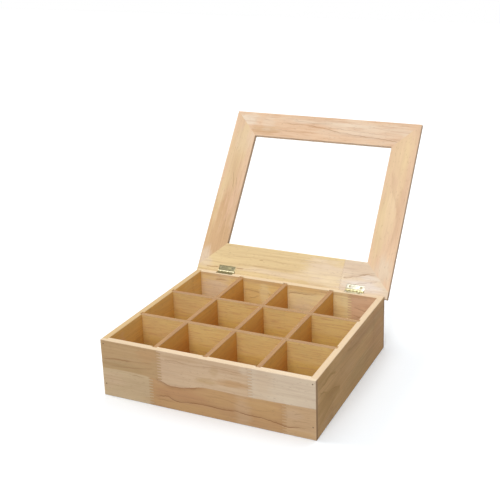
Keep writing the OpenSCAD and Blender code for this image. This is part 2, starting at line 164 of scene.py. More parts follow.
# Staves are named from left to right along the grain, and joints are the places between them.
BOARDS = {
    "front_panel": dict(
        WALL, axes=UPRIGHT_ALONG_X, seed=3.0, veins=0.0, rings=0.1, streaks=0.3, inner_side=-1.0,
        split=((-165, 0), (-84, -0.6), (-75, -2.5), (-66, -5), (-58, -7), (-40, -7.4), (-28, -6),
               (-15, -2.7), (-5, -0.5), (2, 0.2), (24, 0.3), (60, -0.3), (100, 0.7), (165, 2.6)),
        upper=("sand", "shell", "petal"), upper_joints=(-70, 70),
        lower=("biscuit", "russet", "wheat"), lower_joints=(-84.5, 119),
        patches=(
            blush((-135, 9), (50, 9), "olive", 0.5),
            blush((-90, 31), (20, 16), "russet", 0.6),
            blush((2, 11), (18, 5), "sand", 0.75),
            blush((44, 15.5), (28, 5.5), "russet", 0.8),
            blush((17, 29), (8, 11), "sand", 0.45),
            blush((62, 39), (9, 8), "petal", 0.6),
            blush((40, 33), (26, 5), "russet", 0.2),
            blush((-40, 37), (44, 6), "sand", 0.25),
            blush((88, 24), (22, 34), "shell", 0.4),
            blush((-38, -18), (44, 11), "rose", 0.42),
            blush((24, -12), (28, 12), "toast", 0.45),
            blush((58, -24), (14, 34), "shell", 0.4),
            blush((92, -14), (30, 18), "toast", 0.65),
            blush((-20, -37), (70, 7), "toast", 0.6),
            blush((134, -14), (14, 9), "shell", 0.5),
            blush((145, -37), (30, 6), "toast", 0.5),
            blush((-150, -18), (22, 14), "shell", 0.45),
        ),
        lines=(
            vein((-78, 0.2), (-69, -3.1), (-63, -6), (-56, -8), (-49, -8.7), (-40.5, -7.8), (-31.6, -6.7),
                 (-20.5, -4.9), (-9.4, -2.2), (-0.5, -0.4), (10, 0.4), strength=0.8, width=1.3, side=-1.0,
                 fade=(5, 30)),
            vein((-83, -27.1), (-69.5, -26.7), (-58, -24.4), (-52, -27.6), (-40.5, -29.3), (-27, -28.2),
                 (-9.5, -26.7), (4, -26), (19.5, -27.6), (35, -26.2), (48, -25.3), (64, -26.7), (84, -27.1),
                 (102, -28.9), (113, -30.9), (124, -31.6), (142, -29.3), (164, -28.7),
                 strength=0.95, width=1.1, side=1.0, shade=0.22, fade=(10, 24)),
            vein((-164, 15), (-138, 17.7), (-110, 18.8), (-76, 22), width=1.3, fade=(6, 16)),
            vein((-160, 5), (-120, 8), (-76, 14), strength=0.3, width=1.4, fade=(20, 10)),
            vein((-118, -2.4), (-104, -2.6), (-90, -2.2), width=1.1),
            vein((-62, 31.5), (-45, 32), (-20, 31), (20, 33.5), (62, 32), strength=0.32, width=1.4,
                 fade=(4, 10)),
            vein((-78, -33), (-60, -32), (-40, -34), strength=0.45),
            vein((-10, -13), (30, -11), (60, -16), (108, -15), strength=0.22, width=1.4, fade=(20, 20)),
            vein((132, -12), (146, -8), (163, -5), strength=0.45),
            vein((128, -22), (146, -20), (163, -21), strength=0.35),
        ),
    ),
    "back_panel": dict(
        WALL, axes=UPRIGHT_ALONG_X, seed=11.0, split=-4, veins=0.1, rings=0.12, streaks=0.3,
        inner_side=1.0, outer="outer",
        upper=("honey", "cream", "peach"), upper_joints=(-5, 111),
        lower=("honey", "cream", "peach"), lower_joints=(-5, 111),
        patches=(
            blush((-124, 4), (46, 60), "ivory", 0.8),
            blush((-37, 12), (10, 40), "cream", 0.65),
            blush((0, 42), (200, 6), "tan", 0.55),
            blush((30, 38), (50, 8), "amber", 0.4),
            blush((142, 26), (28, 6), "rose", 0.2), blush((136, 2), (24, 6), "rose", 0.15),
            blush((38, 2), (28, 20), "ivory", 0.5),
            blush((90, 4), (18, 30), "honey", 0.5),
        ),
        lines=(
            vein((-130, 32.5), (-108, 33), (-98, 29.5), side=1.0),
            vein((-76, 24), (-54, 22), (-45, 20), strength=0.7, fade=(6, 4), side=1.0, shade=0.2),
            vein((-68, 8), (-58, 12), (-49, 15), (-45, 20), strength=0.7, fade=(6, 2)),
            vein((-33, 26), (-27, 18), (-20, 4), strength=0.5, fade=(3, 3)),
            vein((2, 27), (16, 31), (37, 31), (62, 34), strength=0.7, side=1.0, shade=0.3),
            vein((115, 22), (140, 17), (160, 10), side=1.0, shade=0.2),
            vein((114, 8), (135, 4), (160, -4), strength=0.5, side=1.0, shade=0.15),
        ),
    ),
    "left_panel": dict(
        WALL, axes=UPRIGHT_ALONG_Y, seed=17.0, split=3, veins=0.1, rings=0.12, streaks=0.25,
        inner_side=1.0, outer="outer", edge="left_rim",
        upper=("amber",), upper_joints=(-30, 105),
        lower=("amber",), lower_joints=(60, NO_JOINT),
        patches=(
            blush((-126, 6), (9, 34), "olive", 0.5), blush((-104, 12), (10, 26), "peach", 0.45),
            blush((-66, 2), (14, 16), "olive", 0.25), blush((96, 0), (50, 40), "honey", 0.8),
        ),
        lines=(vein((-120, 22), (-70, 18), (-20, 20), (60, 14), (120, 17), strength=0.25),),
    ),
    "right_panel": dict(
        WALL, axes=UPRIGHT_ALONG_Y, seed=29.0, split=-9, spacing=2.0, veins=0.1, rings=0.1, streaks=0.35,
        inner_side=-1.0,
        upper=("toast",), upper_joints=(90, NO_JOINT),
        lower=("toast",), lower_joints=(-85, NO_JOINT),
        patches=(
            blush((112, 0), (66, 60), "rose", 0.34),
            blush((50, 27), (100, 14), "olive", 0.34),
            blush((50, 32), (90, 12), "rose", 0.34),
            blush((-102, -6), (44, 15), "umber", 0.32),
            blush((-116, 34), (46, 12), "umber", 0.35),
            blush((-90, -36), (34, 8), "wheat", 0.3),
            blush((30, -20), (70, 16), "olive", 0.32),
            blush((-20, 4), (40, 12), "wheat", 0.2),
        ),
        lines=(
            vein((-134, 26), (-114, 25), (-94, 27), (-76, 23), (-68, 20), strength=0.55, tint="umber",
                 width=2.6, fade=(8, 8)),
            vein((-131, 18.5), (-114, 11.8), (-101, 6.2), (-81, 1.8), (-67.5, -3.8), (-55, -9.3),
                 tint="umber", width=1.6, side=-1.0, shade=0.28, reach=16, fade=(6, 3)),
            vein((-136, -29.3), (-121, -25), (-99, -19.3), (-70, -14.2), (-55, -9.3), strength=0.4,
                 tint="umber", width=2.4, side=1.0, shade=0.2, reach=12, fade=(10, 3)),
            vein((-28, 31), (-15, 28), (-4, 26), (30, 22), strength=0.4, tint="umber", width=2.2,
                 fade=(4, 26)),
            vein((-40, -12), (0, -16), (60, -14), (110, -20), strength=0.22, tint="umber", width=1.8,
                 fade=(20, 40)),
            vein((-20, 12), (30, 14), (120, 8), strength=0.2, tint="umber", width=1.8, fade=(30, 40)),
        ),
    ),
    "lid_front_rail": dict(
        axes=FLAT_ALONG_X, seed=37.0, rings=0.06, veins=0.0, streaks=0.68, streak_length=0.05,
        grain="rose", worn="blossom", upper=("peach",),
        patches=(
            blush((-146, -7), (28, 13), "ivory", 1.0),
            blush((-108, 10), (32, 10), "tan", 0.6),
            blush((10, -11), (130, 6), "ivory", 0.6), blush((70, -4), (100, 20), "ivory", 0.6),
            blush((40, 7), (90, 5), "rose", 0.14),
            blush((-106, -4), (14, 14), "ivory", 0.45),
            blush((148, 4), (14, 18), "ivory", 0.35),
        ),
        lines=(
            vein((-34, -4.4), (-22, -3.4), (-9, -2.5), (14, 1.5), (37, 4.8), (60, 7), (86, 9), (110, 10.4),
                 (138, 12.6), strength=0.7, width=0.9, side=1.0, shade=0.12, fade=(8, 12)),
            vein((-118, -11), (-104, -9.5), (-92, -10.5), strength=0.55, width=0.8),
            vein((-80, -7), (-58, -5), (-30, -8), strength=0.5, width=0.8),
            vein((-60, -12), (-20, -10), (20, -13), strength=0.4, width=0.8),
            vein((0, -5), (34, -2), (76, 1), (120, 2), strength=0.4, width=0.8, fade=(10, 30)),
            vein((-90, 6), (-60, 9), (-20, 8), strength=0.4, width=0.8, fade=(10, 20)),
        ),
    ),
    "lid_hinge_rail": dict(
        axes=FLAT_ALONG_X, seed=41.0, spacing=1.8, rings=0.06, veins=0.0, streaks=0.4, fingers=0.25,
        upper=("straw", "petal", "petal"), upper_joints=(88, NO_JOINT),
        patches=(
            blush((62, 2), (54, 26), "ivory", 0.8), blush((60, 6), (40, 14), "cream", 0.3),
            blush((-20, 13), (80, 6), "ivory", 0.5),
            blush((128, 12), (34, 13), "blossom", 1.0),
            blush((120, -15), (30, 8), "rose", 0.1),
            blush((136, -2), (20, 5), "blossom", 0.6), blush((-158, 8), (16, 12), "petal", 0.6),
        ),
        lines=(
            vein((-154, 16.2), (-128, 15.4), strength=0.7, width=1.2, fade=(4, 5)),
            vein((-100, 13.4), (-82, 12.6), strength=0.7, width=1.2, fade=(5, 5)),
            vein((-84, 14), (-58, 10.6), (-42, 9), strength=0.45, width=0.9),
            vein((-70, 4.5), (-48, 3.6), (-40, 2.6), strength=0.45, width=0.9),
            vein((-60, -5.2), (-52, -5.8), width=0.9, fade=(2, 2)),
            vein((-130, -4), (-70, -8), (0, -6), strength=0.18, width=1.4),
            vein((90, 3.5), (98, 1.6), (110.6, -0.9), (118, -4.4), (124, -6.4), (134, -7), (148, -7.6),
                 strength=0.7, width=1.5, side=-1.0, shade=0.18, fade=(3, 12)),
            vein((112, 10.6), (122, 9), (132, 6.6), (144, 3.6), (150, -1), strength=0.4, side=-1.0,
                 shade=0.12, fade=(6, 6)),
        ),
    ),
    "lid_left_rail": dict(
        axes=FLAT_ALONG_Y, seed=43.0, spacing=2.0, rings=0.04, veins=0.0, streaks=0.2,
        # The edge that faces right gets painted shade.
        sawn_edge=0.8, edge="shaded_lid_edge", edge_side=-1.0,
        upper=("peach",), upper_joints=(-NO_JOINT, NO_JOINT),
        patches=(
            blush((-30, 0), (60, 30), "tan", 0.12), blush((-96, -4), (34, 16), "ivory", 0.35),
            blush((110, 0), (110, 40), "tan", 0.85), blush((-60, 2), (90, 18), "straw", 0.55),
            blush((10, -4), (70, 14), "rose", 0.2), blush((20, 15), (70, 5), "straw", 0.5),
            blush((132, 13), (24, 12), "petal", 0.8),
        ),
        lines=(
            vein((-30, 1.4), (-8, -4), (14, -10), strength=0.45),
            vein((-20, -7), (4, -11), (30, -13), strength=0.35),
            vein((40, -4), (80, -8), (110, -7), strength=0.2, width=1.6, fade=(20, 20)),
        ),
    ),
    "lid_right_rail": dict(
        axes=FLAT_ALONG_Y, seed=53.0, spacing=4.0, wander=0.03, rings=0.05, veins=0.0, streaks=0.14,
        # The edge that faces right gets painted shade.
        sawn_edge=0.8, edge="shaded_lid_edge", edge_side=-1.0,
        upper=("peach",), upper_joints=(-NO_JOINT, NO_JOINT),
        patches=(
            blush((-90, 4), (60, 24), "straw", 0.35),
            blush((30, 6), (80, 18), "cream", 0.28), blush((-60, -8), (60, 9), "straw", 0.3),
            blush((0, -13), (80, 7), "rose", 0.14),
            blush((112, -6), (26, 16), "petal", 0.8), blush((40, 13), (90, 9), "straw", 0.45),
        ),
        lines=(
            vein((-60, 20), (-44, 9), (-26, 6), (-12, 0), (0, -5), (16, -10), (38, -12), (60, -9), (84, -4),
                 (106, 2), strength=0.11, width=2.0, side=-1.0, shade=0.14, reach=10, fade=(15, 50)),
        ),
    ),
    "bottom_panel": dict(
        axes=FLAT_ALONG_X, seed=97.0, spacing=2.5, rings=0.3, streaks=0.6, streak_length=0.05),
    "lid_mitre_tongues": dict(axes=FLAT_ALONG_Y, seed=71.0),
}
# A divider's depth colour is painted shade on its lower part, deep in the box.
for i, divider in enumerate(COLUMN_DIVIDERS):
    BOARDS[divider] = dict(
        DIVIDER, axes=UPRIGHT_ALONG_Y, seed=70.0 + DIVIDER_SEED_STEP * i, upper=("column_veneer",),
        rings=0.1, veins=0.05, streaks=0.35, streak_length=0.05, depth="column_depth_shade", depth_levels=(38, 4))
for i, divider in enumerate(ROW_DIVIDERS):
    BOARDS[divider] = dict(
        DIVIDER, axes=UPRIGHT_ALONG_X, seed=67.0 + DIVIDER_SEED_STEP * i, rings=0.12, veins=0.08,
        streaks=0.85, streak_length=0.03, streak_height=0.0019, grain="rose", depth="row_depth_shade",
        depth_levels=(18, 1), patches=(blush((-125, 0), (56, 90), "tan", 0.3),))


# ---------- Settings ----------

def colour_setting(name, description, default):
    return FloatVectorProperty(
        name=name, description=description, default=default, subtype="COLOR", size=3, min=0.0, max=1.0)


def length_setting(name, description, default):
    return FloatProperty(
        name=name, description=description, default=default, min=0.0, unit="LENGTH", precision=4)


def share_setting(name, description, default):
    return FloatProperty(
        name=name, description=description, default=default, min=0.0, max=1.0, subtype="FACTOR")


def level_setting(name, description, default):
    return FloatProperty(name=name, description=description, default=default, min=0.0)


def angle_setting(name, description, degrees):
    return FloatProperty(
        name=name, description=description, default=math.radians(degrees), min=0.0, max=math.pi,
        unit="ROTATION")


class RubberwoodSettings(bpy.types.PropertyGroup):
    """Colours of the staves and of their figure, its sizes, and painted shade deep in the box and on the lid
    rails' edges
    """
    sand: colour_setting("Sand", "Greyish yellow staves", (0.6, 0.4, 0.21))
    biscuit: colour_setting("Biscuit", "Pale greyish staves", (0.68, 0.51, 0.31))
    shell: colour_setting("Shell", "Pale pinkish staves", (0.73, 0.525, 0.34))
    petal: colour_setting("Petal", "The palest pinkish staves", (0.79, 0.64, 0.475))
    russet: colour_setting("Russet", "Reddish brown staves", (0.61, 0.365, 0.18))
    wheat: colour_setting("Wheat", "Yellowish brown staves", (0.69, 0.465, 0.265))
    toast: colour_setting("Toast", "Brown staves", (0.665, 0.415, 0.19))
    amber: colour_setting("Amber", "Deep orange staves", (0.845, 0.55, 0.182))
    honey: colour_setting("Honey", "Warm yellow staves", (0.87, 0.65, 0.285))
    cream: colour_setting("Cream", "Pale yellow staves", (0.93, 0.785, 0.455))
    straw: colour_setting("Straw", "Yellow rails", (0.775, 0.598, 0.328))
    peach: colour_setting("Peach", "Rosy rails", (0.81, 0.57, 0.38))
    ivory: colour_setting("Ivory", "Pale parts of the rails", (0.84, 0.69, 0.53))
    blossom: colour_setting("Blossom", "Pinkish white parts of the rails", (0.83, 0.73, 0.64))
    tan: colour_setting("Tan", "Darker parts of the rails", (0.64, 0.415, 0.22))
    rose: colour_setting("Rose", "Reddish patches", (0.56, 0.29, 0.15))
    olive: colour_setting("Olive", "Greenish patches", (0.47, 0.33, 0.16))
    late_wood: colour_setting("Late Wood", "Growth lines", (0.4, 0.225, 0.12))
    vein: colour_setting("Vein", "Reddish veins", (0.34, 0.15, 0.06))
    umber: colour_setting("Umber", "Dark brown figure", (0.4, 0.23, 0.06))
    pore: colour_setting("Pore", "Open pores", (0.3, 0.17, 0.1))
    pale: colour_setting("Worn Edge", "Rubbed edges", (0.78, 0.63, 0.46))
    end_grain: colour_setting("End Grain", "Colour where the fibres are cut across", (0.4, 0.235, 0.12))
    rim: colour_setting("Rim", "Walls' planed upper edges", (0.745, 0.6, 0.42))
    left_rim: colour_setting("Left Rim", "Left wall's planed upper edge", (0.55, 0.4, 0.235))
    # Painted shade on the lid rails' edges that face right.
    shaded_lid_edge: colour_setting("Shaded Lid Edge", "Rails' edges that face right", (0.5, 0.33, 0.21))
    divider_edge: colour_setting("Divider Edge", "Dividers' sawn upper edges", (0.37, 0.21, 0.113))
    row_veneer: colour_setting("Row Veneer", "Dividers from side to side", (0.785, 0.572, 0.233))
    column_veneer: colour_setting("Column Veneer", "Dividers from front to back", (0.77, 0.445, 0.118))
    # Painted shade: these darken the lower parts of the dividers and of the walls' inner faces, deep in the
    # box.
    row_depth_shade: colour_setting("Row Depth Shade", "Tint of the first dividers deep in the box", (0.93, 0.89, 0.66))
    column_depth_shade: colour_setting("Column Depth Shade", "Tint of the others deep in the box", (0.88, 0.79, 0.76))
    wall_depth_shade: colour_setting("Wall Depth Shade", "Tint of the walls deep in the box", (0.97, 0.97, 0.92))
    outer: colour_setting("Outer Tint", "Tint of the left and back walls' outer faces", (0.86, 0.82, 0.79))
    ring_spacing: length_setting("Ring Spacing", "Distance between growth lines", 0.0055)
    finger_length: length_setting("Finger Length", "Length of the fingers between two staves", 0.0065)
    finger_pitch: length_setting("Finger Pitch", "Distance from one finger to the next", 0.0044)
    wear_width: length_setting("Wear Width", "How far the handled edges are rubbed pale", 0.0014)
    relief: length_setting("Relief", "Height of the grain's relief", 0.00012)
    sheen: share_setting("Sheen", "How much the bare wood shines", 0.12)


class BrassSettings(bpy.types.PropertyGroup):
    """Finish of the hinges, screws and brads"""
    # One brass for both hinges, painted as two copies: darker on the left as painted shade, paler on the
    # right as painted highlight; the screws the same way.
    left_clean: colour_setting("Left Hinge", "Left hinge where it is clean", (0.33, 0.29, 0.165))
    left_dulled: colour_setting("Left Tarnish", "Left hinge where it is dulled", (0.13, 0.118, 0.068))
    right_clean: colour_setting("Right Hinge", "Right hinge where it is clean", (0.74, 0.7, 0.59))
    right_dulled: colour_setting("Right Tarnish", "Right hinge where it is dulled", (0.44, 0.41, 0.3))
    tarnished: share_setting("Tarnished", "How much of a hinge is dulled", 0.45)
    left_screw: colour_setting("Left Screws", "Left hinge's screws", (0.27, 0.24, 0.15))
    right_screw: colour_setting("Right Screws", "Right hinge's screws", (0.5, 0.44, 0.3))
    screw_dulled: colour_setting("Screw Tarnish", "Screws in their slots", (0.22, 0.18, 0.11))
    steel: colour_setting("Brad Steel", "Brads' heads", (0.24, 0.16, 0.1))
    steel_dulled: colour_setting("Brad Tarnish", "Brads where they are dulled", (0.12, 0.07, 0.04))
    steel_tarnished: share_setting("Brad Tarnished", "How much of a brad is dulled", 0.5)
    # The knuckles' brighter colours are partly polish and partly a painted highlight.
    left_barrel: colour_setting("Left Barrel", "Left hinge's knuckles", (0.62, 0.56, 0.37))
    right_barrel: colour_setting("Right Barrel", "Right hinge's knuckles", (0.64, 0.58, 0.34))
    # Painted shade in the crease where a leaf meets the knuckles.
    crease_shade: colour_setting("Crease Shade", "Tint of the grime beside the knuckles", (0.4, 0.38, 0.32))
    relief: length_setting("Metal Relief", "Height of the dents and polish lines", 0.00003)
    barrel_radius: length_setting("Barrel Radius", "Radius of the hinges' knuckles", 0.002)
    leaf_ease: length_setting("Leaf Ease", "Width of the bevel round each hinge leaf", 0.00018)


class WindowSettings(bpy.types.PropertyGroup):
    """Finish of the pane"""
    tint: colour_setting("Tint", "Colour of the pane", (0.985, 0.995, 0.99))
    refraction: FloatProperty(
        name="Refraction", description="Index of refraction of the pane", default=1.49, min=1.0, max=2.0)


class StudioSettings(bpy.types.PropertyGroup):
    """Floor, light and camera"""
    floor_size: length_setting("Floor Size", "Width of the floor", 9.0)
    floor_white: colour_setting("Floor", "Colour of the floor", (0.96, 0.985, 1.0))
    floor_bounce: share_setting("Floor Bounce", "How much light the floor throws back up", 0.36)
    floor_lift: colour_setting("Floor Lift", "How far the floor is lifted to white", (0.025, 0.035, 0.05))
    ambient: level_setting("Ambient", "Level of the light from all round", 0.424)
    top_level: level_setting("Top Light", "Level of the light from above", 0.495)
    front_level: level_setting("Front Light", "Level of the light from in front", 1.19)
    left_level: level_setting("Left Light", "Level of the light from the left", 1.05)
    rear_level: level_setting("Rear Light", "Level of the light from behind", 0.885)
    wide: angle_setting("Wide", "How wide the top and rear lights look from the box", 50)
    narrow: angle_setting("Narrow", "How wide the front and left lights look from the box", 25)
    focal_length: FloatProperty(
        name="Focal Length", description="Focal length of the camera", default=64.407, min=1.0,
        unit="CAMERA")


SETTINGS = {
    "tea_box_wood": RubberwoodSettings,
    "tea_box_brass": BrassSettings,
    "tea_box_window": WindowSettings,
    "tea_box_studio": StudioSettings,
}


def rgba(colour):
    return (*colour, 1.0)


# ---------- Wiring of materials ----------

# How far apart nodes are set out.
COLUMN_WIDTH = 220
ROW_HEIGHT = 190


def arithmetic(operation, swapped=False):
    """How a Value answers to one of Python's operators: with a Math node."""
    def answer(self, *others):
        operands = (*others, self) if swapped else (self, *others)
        return self.wires.math(operation, *operands)
    return answer


class Value:
    """What a node puts out. Arithmetic with it adds the nodes that work out the result."""
    __add__ = arithmetic("ADD")
    __sub__ = arithmetic("SUBTRACT")
    __rsub__ = arithmetic("SUBTRACT", swapped=True)
    __mul__ = arithmetic("MULTIPLY")
    __truediv__ = arithmetic("DIVIDE")
    __rtruediv__ = arithmetic("DIVIDE", swapped=True)
    __pow__ = arithmetic("POWER")
    __gt__ = arithmetic("GREATER_THAN")
    __abs__ = arithmetic("ABSOLUTE")

    def __init__(self, wires, socket):
        self.wires = wires
        self.socket = socket


class Outputs:
    """All that a node puts out, each part had by its name or its place."""

    def __init__(self, wires, node):
        self.wires = wires
        self.node = node

    def __getitem__(self, key):
        return Value(self.wires, self.node.outputs[key])


class Wiring:
    """Adds nodes to one tree. What feeds a socket may be a number, a tuple or a Value."""

    def __init__(self, tree):
        self.tree = tree

    def feed(self, socket, value):
        if isinstance(value, Value):
            self.tree.links.new(value.socket, socket)
        else:
            socket.default_value = value

    def node(self, kind, inputs=(), **settings):
        made = self.tree.nodes.new(kind)
        for name, value in settings.items():
            setattr(made, name, value)
        for key, value in dict(inputs).items():
            self.feed(made.inputs[key], value)
        return Outputs(self, made)

    def math(self, operation, *values):
        return self.node("ShaderNodeMath", enumerate(values), operation=operation)[0]

    def hypotenuse(self, a, b):
        return self.math("SQRT", a * a + b * b)

    def vector(self, operation, *values):
        return self.node("ShaderNodeVectorMath", enumerate(values), operation=operation)[0]

    def split(self, value):
        return self.node("ShaderNodeSeparateXYZ", {0: value})

    def join(self, x, y, z):
        return self.node("ShaderNodeCombineXYZ", {0: x, 1: y, 2: z})[0]

    def spread(self, value, low, high, to_low, to_high, easing="LINEAR"):
        """Takes the range from low to high to another range, and holds what lies past its ends."""
        values = enumerate((value, low, high, to_low, to_high))
        return self.node("ShaderNodeMapRange", values, interpolation_type=easing)[0]

    def ramp_up(self, value, none, full):
        """0 where the value is at most none, rising smoothly to 1 at full."""
        return self.spread(value, none, full, 0.0, 1.0, "SMOOTHSTEP")

    def ramp_down(self, value, full, none):
        """1 where the value is at most full, falling smoothly to 0 at none."""
        return self.spread(value, full, none, 1.0, 0.0, "SMOOTHSTEP")

    def noise(self, place, cells=None, detail=2.0, roughness=0.5, scale=1.0, out="Fac"):
        """A noise. Cells are how many of its features a metre holds along each axis of the place."""
        if cells:
            place = self.vector("MULTIPLY", place, cells)
        return self.node("ShaderNodeTexNoise", {
            "Vector": place, "Scale": scale, "Detail": detail, "Roughness": roughness})[out]

    def vary(self, noise, low, high):
        """A noise's usual range, spread from low to high."""
        return self.spread(noise, 0.3, 0.7, low, high)

    def mix_colour(self, share, a, b, blend_type="MIX"):
        """Colours go into a Mix node at places 6 and 7, and come out of it at place 2."""
        return self.node("ShaderNodeMix", {0: share, 6: a, 7: b}, data_type="RGBA", blend_type=blend_type)[2]

    def group(self, name, values):
        """A node group. The values hold one for each of its inputs, by name, and may hold more."""
        made = self.node("ShaderNodeGroup", node_tree=bpy.data.node_groups[name])
        for socket in made.node.inputs:
            self.feed(socket, values[socket.name])
        return made

    def result(self, values, kind="NodeGroupOutput"):
        """Feeds the node that ends the tree, and sets all nodes out in columns, left of what they feed."""
        self.node(kind, values)
        column = {}

        def place(node, depth):
            if column.get(node.name, -1) < depth:
                column[node.name] = depth
                for socket in node.inputs:
                    for link in socket.links:
                        place(link.from_node, depth + 1)

        for node in self.tree.nodes:
            if not any(s.links for s in node.outputs):
                place(node, 0)
        rows = {}
        for node in self.tree.nodes:
            depth = column.get(node.name, 0)
            rows[depth] = rows.get(depth, -1) + 1
            node.location = (-COLUMN_WIDTH * depth, -ROW_HEIGHT * rows[depth])


def new_group(name, inputs, outputs):
    """Wiring for a new node group, and what comes in. A default tells what kind of input it is."""
    tree = bpy.data.node_groups.new(name, "ShaderNodeTree")
    for label, value in inputs.items():
        kind = "Float" if isinstance(value, float) else {3: "Vector", 4: "Color"}[len(value)]
        socket = tree.interface.new_socket(label, in_out="INPUT", socket_type="NodeSocket" + kind)
        socket.default_value = value
    for label, kind in outputs.items():
        tree.interface.new_socket(label, in_out="OUTPUT", socket_type="NodeSocket" + kind)
    wires = Wiring(tree)
    return wires, wires.node("NodeGroupInput")


# ---------- Effects that several materials share ----------

# Defaults of the groups' inputs, which every material replaces with its own values.
ORIGIN = (0.0, 0.0, 0.0)
PALE_WOOD = (0.8, 0.6, 0.4, 1.0)
DARK_WOOD = (0.4, 0.22, 0.12, 1.0)
FIGURE_INPUTS = {
    "Board": ORIGIN, "Stave": (0.5, 0.5, 0.5), "Ring Spacing": 0.0055, "Wander": 0.016,
    "Streak Length": 0.14, "Streak Height": 0.003}
EDGE_INPUTS = {"Board": ORIGIN, "Half Size": (0.1, 0.04, 0.005), "Wear Width": 0.0014, "Edge Side": 1.0}
FINISH_OUTPUTS = {"Color": "Color", "Roughness": "Float", "Height": "Float"}


def make_finger_joints():
    """Two rows of staves, each row broken by finger joints into up to three staves."""
    wires, given = new_group("Finger Joints", {
        "Board": ORIGIN, "Split": 0.0, "Upper Joints": (NO_JOINT * MM, NO_JOINT * MM, 0.0),
        "Lower Joints": (NO_JOINT * MM, NO_JOINT * MM, 0.0), "Finger Length": 0.0065,
        "Finger Pitch": 0.0044, "Seed": 0.0,
        **{row + " " + stave: PALE_WOOD for row in ROWS for stave in STAVES},
    }, {"Color": "Color", "Stave": "Vector", "Seam": "Float"})
    board = given["Board"]
    along, across, _ = wires.split(board)
    half_pitch = given["Finger Pitch"] * 0.5
    zigzag = wires.math("PINGPONG", across, half_pitch) / half_pitch
    reach = along + wires.spread(zigzag, *FLANK, -0.5, 0.5) * given["Finger Length"]
    rows = []
    for row in ROWS:
        joints = wires.split(given[row + " Joints"])
        left, middle, right = (given[row + " " + stave] for stave in STAVES)
        past = [reach > joints[i] for i in (0, 1)]
        away = [abs(reach - joints[i]) for i in (0, 1)]
        colour = wires.mix_colour(past[1], wires.mix_colour(past[0], left, middle), right)
        rows.append((colour, past[0] + past[1], wires.math("MINIMUM", *away)))
    (upper_colour, upper_number, upper_away), (lower_colour, lower_number, lower_away) = rows
    above = across - given["Split"]
    upper = wires.spread(above, -ROW_BLEND, ROW_BLEND, 0.0, 1.0)
    is_upper = above > 0.0
    number = is_upper * (upper_number - lower_number) + lower_number
    number = is_upper * len(STAVES) + number + given["Seed"]
    chance = wires.node("ShaderNodeTexWhiteNoise", {"W": number}, noise_dimensions="1D")
    # A glue line is as wide on a steep flank as on a fingertip, measured square to the line.
    steep = half_pitch * (FLANK[1] - FLANK[0]) / given["Finger Length"]
    on_flank = wires.math("COMPARE", zigzag, 0.5, (FLANK[1] - FLANK[0]) / 2)
    away = is_upper * (upper_away - lower_away) + lower_away
    joint_line = wires.ramp_down(away * (on_flank * (steep - 1.0) + 1.0), *JOINT_LINE)
    uneven = wires.spread(wires.noise(board, (180.0, 420.0, 180.0)), 0.35, 0.6, 0.25, 1.0)
    row_line = wires.ramp_down(abs(above), *ROW_LINE)
    wires.result({
        "Color": wires.mix_colour(upper, lower_colour, upper_colour),
        "Stave": chance["Color"],
        "Seam": wires.math("MAXIMUM", joint_line * uneven, row_line * 0.35)})


def make_vein_line():
    """One dark line along a course, broken up along the grain, with a shade on one side of it."""
    wires, given = new_group("Vein Line", {
        "Color": PALE_WOOD, "Board": ORIGIN, "Course": 0.0, "Start": -0.1, "End": 0.1, "Fade In": 0.01,
        "Fade Out": 0.02, "Width": 0.001, "Strength": 0.6, "Side": 0.0, "Shade": 0.35,
        "Shade Reach": 0.006, "Line": DARK_WOOD, "Seed": 0.0,
    }, {"Color": "Color"})
    along, across, through = wires.split(given["Board"])
    # The line strays from its course and pales in places. Both change slowly across it.
    place = wires.join(along, across * 0.4, through + given["Seed"])
    wander = wires.noise(place, detail=3.0, roughness=0.6, scale=90.0)
    offset = across - given["Course"] + wires.vary(wander, -0.0009, 0.0009)
    faded_in = wires.ramp_up(along, given["Start"], given["Start"] + given["Fade In"])
    faded_out = wires.ramp_down(along, given["End"] - given["Fade Out"], given["End"])
    broken = wires.spread(wires.noise(place, scale=38.0), 0.32, 0.55, 0.35, 1.0)
    line = wires.ramp_down(abs(offset), given["Width"] * 0.15, given["Width"]) * broken * given["Strength"]
    beside = offset * given["Side"]
    shade = (beside > 0.0) * wires.ramp_down(beside, 0.0, given["Shade Reach"]) * given["Shade"]
    shown = wires.math("MAXIMUM", line, shade) * (faded_in * faded_out)
    wires.result({"Color": wires.mix_colour(shown, given["Color"], given["Line"])})


def make_blush():
    """One soft patch of another tint, drawn out along the grain."""
    wires, given = new_group("Blush", {
        "Color": PALE_WOOD, "Board": ORIGIN, "Place": ORIGIN, "Size": (0.03, 0.006, 1.0),
        "Tint": DARK_WOOD, "Strength": 0.5, "Seed": 0.0,
    }, {"Color": "Color"})
    from_middle = wires.vector("SUBTRACT", given["Board"], given["Place"])
    x, y, _ = wires.split(wires.vector("DIVIDE", from_middle, given["Size"]))
    moved = wires.join(given["Seed"], 0.0, 0.0)
    place = wires.vector("MULTIPLY_ADD", given["Board"], (22.0, 110.0, 110.0), moved)
    ragged = wires.vary(wires.noise(place, detail=3.0, roughness=0.6), -0.4, 0.4)
    # The patch is at its full strength near its middle, and fades past the rim of its size.
    share = wires.ramp_down(wires.hypotenuse(x, y) + ragged, 0.35, 1.2) * given["Strength"]
    wires.result({"Color": wires.mix_colour(share, given["Color"], given["Tint"])})


